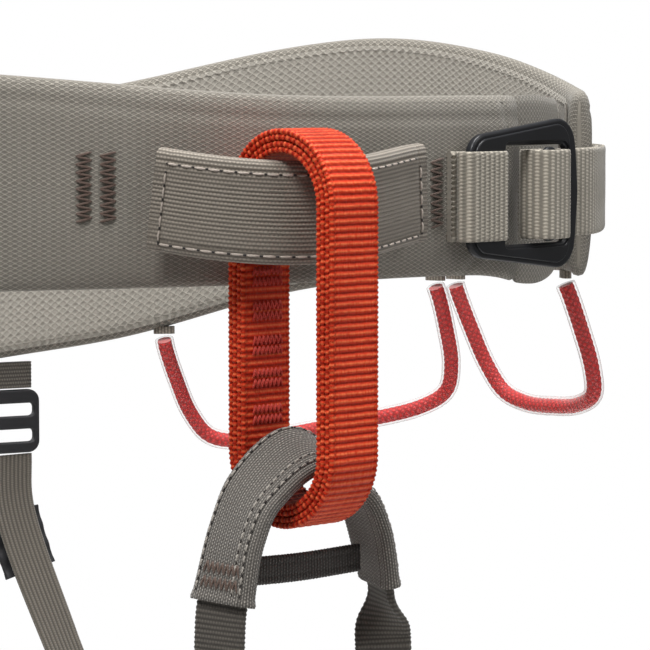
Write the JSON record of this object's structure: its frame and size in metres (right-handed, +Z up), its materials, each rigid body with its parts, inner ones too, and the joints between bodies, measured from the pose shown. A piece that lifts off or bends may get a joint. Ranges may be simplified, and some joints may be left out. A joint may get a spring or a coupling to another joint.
{
  "type": "climbing harness",
  "caption": "Sit harness: padded waist belt with strap buckle, sleeved tie-in points joined by a belay loop, hinged leg loops, racking loops and a rear haul loop.",
  "frame": {"origin": "centre of the waist opening, at the mid height of the belt's front, where the wearer's waist holds it", "axes": "+Z up along the wearer's body, -Y out of the harness's front, +X towards the wearer's left, the side of the buckle"},
  "size_m": [0.3586, 0.2813, 0.3432],
  "materials": {
    "belt_fabric": "matte",
    "lining": "matte",
    "foam": "matte",
    "taupe_webbing": "matte",
    "buckle_webbing": "matte",
    "red_webbing": "matte",
    "dark_webbing": "matte",
    "bridge_sleeve": "matte",
    "elastic": "matte",
    "red_cord": "matte",
    "clear_tube": "gloss",
    "black_metal": "satin",
    "black_plastic": "satin"
  },
  "bodies": {
    "belt": {"belt_lining": "lining", "belt_foam": "foam", "belt_load_webbing": "dark_webbing", "belt_outer_shell": "belt_fabric", "belt_binding_top": "belt_fabric", "belt_binding_bottom": "belt_fabric", "buckle_flap": "belt_fabric", "tie_in_webbing": "taupe_webbing", "tie_in_sleeve": "taupe_webbing", "waist_strap": "buckle_webbing", "strap_keeper": "elastic", "haul_loop_anchor_a": "dark_webbing", "haul_loop_anchor_b": "dark_webbing", "riser_left_hanger": "dark_webbing", "riser_right_hanger": "dark_webbing", "gear_loop_front_left_anchor_a": "dark_webbing", "gear_loop_front_left_anchor_b": "dark_webbing", "gear_loop_front_right_anchor_a": "dark_webbing", "gear_loop_front_right_anchor_b": "dark_webbing", "gear_loop_rear_left_anchor_a": "dark_webbing", "gear_loop_rear_left_anchor_b": "dark_webbing", "gear_loop_rear_right_anchor_a": "dark_webbing", "gear_loop_rear_right_anchor_b": "dark_webbing"},
    "belay_loop": {"belay_loop_outer": "red_webbing", "belay_loop_inner": "red_webbing"},
    "bridge": {"leg_bridge_webbing": "dark_webbing", "leg_bridge_sleeve": "bridge_sleeve", "bridge_cross_strap": "dark_webbing"},
    "buckle": {"buckle_frame": "black_metal", "buckle_anchor_webbing": "buckle_webbing"},
    "buckle_bar": {"buckle_slider": "black_metal"},
    "haul_loop": {"haul_loop": "dark_webbing"},
    "leg_left": {"leg_left_lining": "lining", "leg_left_foam": "foam", "leg_left_shell": "belt_fabric", "leg_left_webbing": "dark_webbing", "leg_left_elastic": "elastic", "leg_left_strap": "dark_webbing", "riser_left_hook": "black_plastic", "riser_left_strap": "elastic", "riser_left_slider": "black_plastic"},
    "leg_right": {"leg_right_lining": "lining", "leg_right_foam": "foam", "leg_right_shell": "belt_fabric", "leg_right_webbing": "dark_webbing", "leg_right_elastic": "elastic", "leg_right_strap": "dark_webbing", "riser_right_hook": "black_plastic", "riser_right_strap": "elastic", "riser_right_slider": "black_plastic"},
    "gear_loop_front_left": {"gear_loop_front_left_sheath": "clear_tube", "gear_loop_front_left_core": "red_cord"},
    "gear_loop_front_right": {"gear_loop_front_right_sheath": "clear_tube", "gear_loop_front_right_core": "red_cord"},
    "gear_loop_rear_left": {"gear_loop_rear_left_sheath": "clear_tube", "gear_loop_rear_left_core": "red_cord"},
    "gear_loop_rear_right": {"gear_loop_rear_right_sheath": "clear_tube", "gear_loop_rear_right_core": "red_cord"}
  },
  "joints": [
    {"name": "belay_loop_swing", "type": "hinge", "parent": "belt", "child": "belay_loop", "pos_m": [-0.00465, -0.13815, -0.0053], "axis": [-0.9613, -0.2756, 0], "range_deg": [0, 45], "stiffness_Nm_per_rad": 0.4, "springref_deg": -34.38},
    {"name": "bridge_swing", "type": "hinge", "parent": "belay_loop", "child": "bridge", "pos_m": [-0.00465, -0.13815, -0.0702], "axis": [-1, 0, 0], "range_deg": [0, 8], "stiffness_Nm_per_rad": 0.4, "springref_deg": -34.38},
    {"name": "leg_left_drop", "type": "hinge", "parent": "bridge", "child": "leg_left", "pos_m": [0.02273, -0.14069, -0.1243], "axis": [-1, 0, 0], "range_deg": [0, 35], "stiffness_Nm_per_rad": 0.25, "springref_deg": -28.65},
    {"name": "leg_right_drop", "type": "hinge", "parent": "bridge", "child": "leg_right", "pos_m": [-0.02887, -0.15229, -0.1243], "axis": [-1, 0, 0], "range_deg": [0, 35], "stiffness_Nm_per_rad": 0.25, "springref_deg": -28.65},
    {"name": "buckle_tilt", "type": "hinge", "parent": "belt", "child": "buckle", "pos_m": [0.0604, -0.10852, -0.0032], "axis": [0, 0, -1], "range_deg": [0, 20], "deforming": ["waist_strap"]},
    {"name": "buckle_bar_slide", "type": "slide", "parent": "buckle", "child": "buckle_bar", "axis": [0.9421, 0.3353, 0], "range_m": [0, 0.002], "deforming": ["waist_strap"]},
    {"name": "haul_loop_swing", "type": "hinge", "parent": "belt", "child": "haul_loop", "pos_m": [0, 0.11802, -0.018], "axis": [1, 0, 0], "range_deg": [0, 75]},
    {"name": "gear_loop_front_left_swing", "type": "hinge", "parent": "belt", "child": "gear_loop_front_left", "pos_m": [0.14692, 0.00266, -0.03795], "axis": [0.1047, -0.9927, 0.0594], "range_deg": [-10, 55], "stiffness_Nm_per_rad": 0.02, "springref_deg": 1.15},
    {"name": "gear_loop_front_right_swing", "type": "hinge", "parent": "belt", "child": "gear_loop_front_right", "pos_m": [-0.14499, 0.0033, -0.03781], "axis": [0.0427, 0.9963, -0.0746], "range_deg": [-10, 55], "stiffness_Nm_per_rad": 0.02, "springref_deg": 1.15},
    {"name": "gear_loop_rear_left_swing", "type": "hinge", "parent": "belt", "child": "gear_loop_rear_left", "pos_m": [0.10229, 0.06958, -0.05042], "axis": [0.7728, -0.6016, 0.2021], "range_deg": [-10, 55], "stiffness_Nm_per_rad": 0.02, "springref_deg": 1.15},
    {"name": "gear_loop_rear_right_swing", "type": "hinge", "parent": "belt", "child": "gear_loop_rear_right", "pos_m": [-0.10229, 0.06958, -0.0505], "axis": [0.7731, 0.6018, -0.2004], "range_deg": [-10, 55], "stiffness_Nm_per_rad": 0.02, "springref_deg": 1.15}
  ]
}
